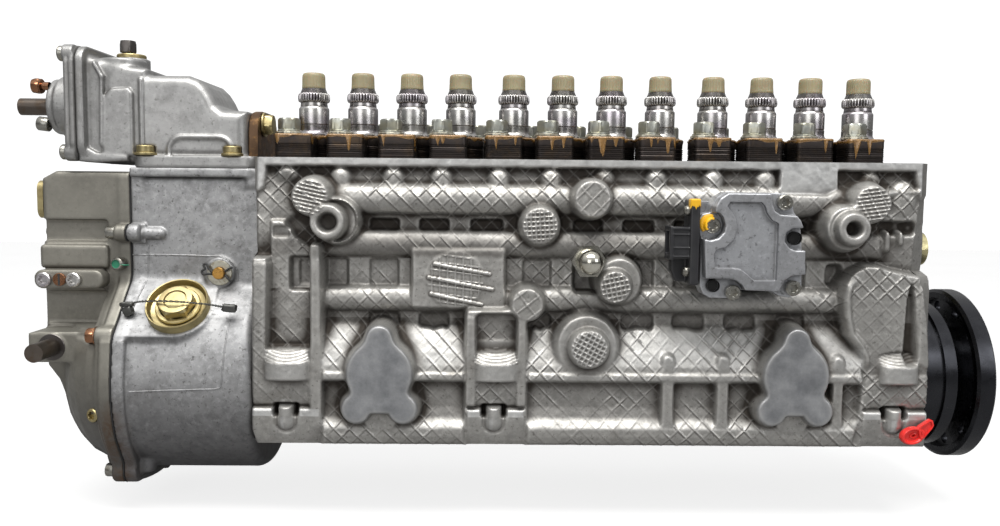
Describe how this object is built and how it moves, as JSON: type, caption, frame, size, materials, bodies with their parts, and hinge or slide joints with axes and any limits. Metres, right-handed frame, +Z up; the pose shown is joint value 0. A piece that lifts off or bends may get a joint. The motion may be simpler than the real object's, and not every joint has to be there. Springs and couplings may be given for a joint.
{
  "type": "diesel injection pump",
  "caption": "In-line diesel injection pump with a cast ribbed housing, capped delivery outlets, mechanical governor, stop actuator and a bolted drive flange.",
  "frame": {"origin": "on the camshaft axis, at the outer face of the drive flange", "axes": "+X along the camshaft out of the drive end, -Y the front with the sensor and ports, +Z up through the delivery outlets"},
  "size_m": [0.676, 0.166, 0.3133],
  "materials": {
    "ball_head_fitting": "plated",
    "barrel_flanges": "black oxide",
    "bearing_rings": "ground",
    "bleed_screw": "black",
    "camshaft": "ground",
    "compensator_cap": "yellow zinc",
    "compensator_cover": "die casting",
    "compensator_housing": "smooth die casting",
    "compensator_screws": "yellow zinc",
    "control_lever_shaft": "bare",
    "control_rack": "ground",
    "cover_screws": "zinc plated",
    "delivery_valve_holders": "zinc plated",
    "delivery_valves": "lapped",
    "drive_flange": "black oxide",
    "drive_nut": "phosphate",
    "end_bracket": "browned",
    "flange_bolts": "zinc plated",
    "flange_washers": "yellow zinc",
    "flyweight_carrier": "machined",
    "flyweight_lower": "machined",
    "flyweight_upper": "machined",
    "fulcrum_pin": "yellow zinc",
    "governor_cover": "dull grey casting",
    "governor_gasket": "matte",
    "governor_housing": "smooth die casting",
    "governor_lever": "stamped",
    "governor_plug": "yellow zinc",
    "governor_sleeve": "ground",
    "inspection_plate": "yellow zinc",
    "lever_bracket": "stamped",
    "plug_cup": "yellow zinc",
    "plunger_and_sleeve_01": "lapped",
    "plunger_and_sleeve_02": "lapped",
    "plunger_and_sleeve_03": "lapped",
    "plunger_and_sleeve_04": "lapped",
    "plunger_and_sleeve_05": "lapped",
    "plunger_and_sleeve_06": "lapped",
    "plunger_and_sleeve_07": "lapped",
    "plunger_and_sleeve_08": "lapped",
    "plunger_and_sleeve_09": "lapped",
    "plunger_and_sleeve_10": "lapped",
    "plunger_and_sleeve_11": "lapped",
    "plunger_and_sleeve_12": "lapped",
    "plunger_springs": "oiled",
    "protective_caps": "translucent plastic",
    "pump_barrels": "lapped",
    "pump_housing": "rough die casting",
    "rack_end_plug": "yellow zinc",
    "red_plug": "moulded",
    "roller_tappets": "ground",
    "seal_wire": "twisted wire",
    "sensor_connector": "moulded",
    "sensor_cover": "die casting",
    "sensor_plate": "die casting",
    "sensor_screws": "zinc plated",
    "stop_block_screws": "zinc plated",
    "stop_screws": "bare",
    "stop_shaft": "bare",
    "tappet_rollers": "ground"
  },
  "bodies": {
    "pump": {"ball_head_fitting": "ball_head_fitting", "barrel_flanges": "barrel_flanges", "bearing_rings": "bearing_rings", "bleed_screw": "bleed_screw", "compensator_cap": "compensator_cap", "compensator_cover": "compensator_cover", "compensator_housing": "compensator_housing", "compensator_screws": "compensator_screws", "cover_screws": "cover_screws", "delivery_valve_holders": "delivery_valve_holders", "delivery_valves": "delivery_valves", "end_bracket": "end_bracket", "flange_bolts": "flange_bolts", "flange_washers": "flange_washers", "fulcrum_pin": "fulcrum_pin", "governor_cover": "governor_cover", "governor_gasket": "governor_gasket", "governor_housing": "governor_housing", "governor_plug": "governor_plug", "inspection_plate": "inspection_plate", "lever_bracket": "lever_bracket", "plug_cup": "plug_cup", "plunger_springs": "plunger_springs", "protective_caps": "protective_caps", "pump_barrels": "pump_barrels", "pump_housing": "pump_housing", "rack_end_plug": "rack_end_plug", "red_plug": "red_plug", "roller_tappets": "roller_tappets", "seal_wire": "seal_wire", "sensor_connector": "sensor_connector", "sensor_cover": "sensor_cover", "sensor_plate": "sensor_plate", "sensor_screws": "sensor_screws", "stop_block_screws": "stop_block_screws", "stop_screws": "stop_screws", "tappet_rollers": "tappet_rollers"},
    "camshaft_body": {"camshaft": "camshaft", "drive_flange": "drive_flange", "drive_nut": "drive_nut", "flyweight_carrier": "flyweight_carrier"},
    "flyweight_upper_body": {"flyweight_upper": "flyweight_upper"},
    "flyweight_lower_body": {"flyweight_lower": "flyweight_lower"},
    "sleeve_body": {"governor_sleeve": "governor_sleeve"},
    "lever_body": {"governor_lever": "governor_lever"},
    "rack_body": {"control_rack": "control_rack"},
    "control_shaft_body": {"control_lever_shaft": "control_lever_shaft"},
    "stop_shaft_body": {"stop_shaft": "stop_shaft"},
    "plunger_01": {"plunger_and_sleeve_01": "plunger_and_sleeve_01"},
    "plunger_02": {"plunger_and_sleeve_02": "plunger_and_sleeve_02"},
    "plunger_03": {"plunger_and_sleeve_03": "plunger_and_sleeve_03"},
    "plunger_04": {"plunger_and_sleeve_04": "plunger_and_sleeve_04"},
    "plunger_05": {"plunger_and_sleeve_05": "plunger_and_sleeve_05"},
    "plunger_06": {"plunger_and_sleeve_06": "plunger_and_sleeve_06"},
    "plunger_07": {"plunger_and_sleeve_07": "plunger_and_sleeve_07"},
    "plunger_08": {"plunger_and_sleeve_08": "plunger_and_sleeve_08"},
    "plunger_09": {"plunger_and_sleeve_09": "plunger_and_sleeve_09"},
    "plunger_10": {"plunger_and_sleeve_10": "plunger_and_sleeve_10"},
    "plunger_11": {"plunger_and_sleeve_11": "plunger_and_sleeve_11"},
    "plunger_12": {"plunger_and_sleeve_12": "plunger_and_sleeve_12"}
  },
  "joints": [
    {"name": "camshaft_spin", "type": "hinge", "parent": "pump", "child": "camshaft_body", "pos_m": [0, 0, 0], "axis": [1, 0, 0], "continuous": true},
    {"name": "rack_slide", "type": "slide", "parent": "pump", "child": "rack_body", "axis": [1, 0, 0], "range_m": [-0.0105, 0.0105]},
    {"name": "governor_lever_turn", "type": "hinge", "parent": "pump", "child": "lever_body", "pos_m": [-0.6, 0, 0.03], "axis": [0, 1, 0], "range_deg": [-10.2, 10.2]},
    {"name": "governor_sleeve_slide", "type": "slide", "parent": "pump", "child": "sleeve_body", "axis": [1, 0, 0], "range_m": [-0.0054, 0.0054]},
    {"name": "flyweight_upper_turn", "type": "hinge", "parent": "camshaft_body", "child": "flyweight_upper_body", "pos_m": [-0.573, 0, 0.0304], "axis": [0, 1, 0], "range_deg": [-20, 20]},
    {"name": "flyweight_lower_turn", "type": "hinge", "parent": "camshaft_body", "child": "flyweight_lower_body", "pos_m": [-0.573, 0, -0.0304], "axis": [0, 1, 0], "range_deg": [-20, 20]},
    {"name": "control_lever_turn", "type": "hinge", "parent": "pump", "child": "control_shaft_body", "pos_m": [-0.6326, -0.07, 0.023], "axis": [0, 1, 0], "range_deg": [-25, 25]},
    {"name": "stop_shaft_turn", "type": "hinge", "parent": "pump", "child": "stop_shaft_body", "pos_m": [-0.66, 0, 0.1864], "axis": [1, 0, 0], "range_deg": [-20, 20]},
    {"name": "plunger_01_turn", "type": "hinge", "parent": "pump", "child": "plunger_01", "pos_m": [-0.4676, 0, 0.0895], "axis": [0, 0, 1], "range_deg": [-32, 32]},
    {"name": "plunger_02_turn", "type": "hinge", "parent": "pump", "child": "plunger_02", "pos_m": [-0.4326, 0, 0.0895], "axis": [0, 0, 1], "range_deg": [-32, 32]},
    {"name": "plunger_03_turn", "type": "hinge", "parent": "pump", "child": "plunger_03", "pos_m": [-0.3976, 0, 0.0895], "axis": [0, 0, 1], "range_deg": [-32, 32]},
    {"name": "plunger_04_turn", "type": "hinge", "parent": "pump", "child": "plunger_04", "pos_m": [-0.3626, 0, 0.0895], "axis": [0, 0, 1], "range_deg": [-32, 32]},
    {"name": "plunger_05_turn", "type": "hinge", "parent": "pump", "child": "plunger_05", "pos_m": [-0.3246, 0, 0.0895], "axis": [0, 0, 1], "range_deg": [-32, 32]},
    {"name": "plunger_06_turn", "type": "hinge", "parent": "pump", "child": "plunger_06", "pos_m": [-0.2896, 0, 0.0895], "axis": [0, 0, 1], "range_deg": [-32, 32]},
    {"name": "plunger_07_turn", "type": "hinge", "parent": "pump", "child": "plunger_07", "pos_m": [-0.2546, 0, 0.0895], "axis": [0, 0, 1], "range_deg": [-32, 32]},
    {"name": "plunger_08_turn", "type": "hinge", "parent": "pump", "child": "plunger_08", "pos_m": [-0.2196, 0, 0.0895], "axis": [0, 0, 1], "range_deg": [-32, 32]},
    {"name": "plunger_09_turn", "type": "hinge", "parent": "pump", "child": "plunger_09", "pos_m": [-0.1816, 0, 0.0895], "axis": [0, 0, 1], "range_deg": [-32, 32]},
    {"name": "plunger_10_turn", "type": "hinge", "parent": "pump", "child": "plunger_10", "pos_m": [-0.1466, 0, 0.0895], "axis": [0, 0, 1], "range_deg": [-32, 32]},
    {"name": "plunger_11_turn", "type": "hinge", "parent": "pump", "child": "plunger_11", "pos_m": [-0.1116, 0, 0.0895], "axis": [0, 0, 1], "range_deg": [-32, 32]},
    {"name": "plunger_12_turn", "type": "hinge", "parent": "pump", "child": "plunger_12", "pos_m": [-0.0766, 0, 0.0895], "axis": [0, 0, 1], "range_deg": [-32, 32]}
  ],
  "couplings": [
    {"joint": "governor_lever_turn", "follows": "rack_slide", "rad_per_m": 16.807},
    {"joint": "governor_sleeve_slide", "follows": "rack_slide", "ratio": -0.5042},
    {"joint": "flyweight_upper_turn", "follows": "rack_slide", "rad_per_m": 31.513},
    {"joint": "flyweight_lower_turn", "follows": "rack_slide", "rad_per_m": -31.513},
    {"joint": "plunger_01_turn", "follows": "rack_slide", "rad_per_m": -52.63},
    {"joint": "plunger_02_turn", "follows": "rack_slide", "rad_per_m": -52.63},
    {"joint": "plunger_03_turn", "follows": "rack_slide", "rad_per_m": -52.63},
    {"joint": "plunger_04_turn", "follows": "rack_slide", "rad_per_m": -52.63},
    {"joint": "plunger_05_turn", "follows": "rack_slide", "rad_per_m": -52.63},
    {"joint": "plunger_06_turn", "follows": "rack_slide", "rad_per_m": -52.63},
    {"joint": "plunger_07_turn", "follows": "rack_slide", "rad_per_m": -52.63},
    {"joint": "plunger_08_turn", "follows": "rack_slide", "rad_per_m": -52.63},
    {"joint": "plunger_09_turn", "follows": "rack_slide", "rad_per_m": -52.63},
    {"joint": "plunger_10_turn", "follows": "rack_slide", "rad_per_m": -52.63},
    {"joint": "plunger_11_turn", "follows": "rack_slide", "rad_per_m": -52.63},
    {"joint": "plunger_12_turn", "follows": "rack_slide", "rad_per_m": -52.63}
  ]
}
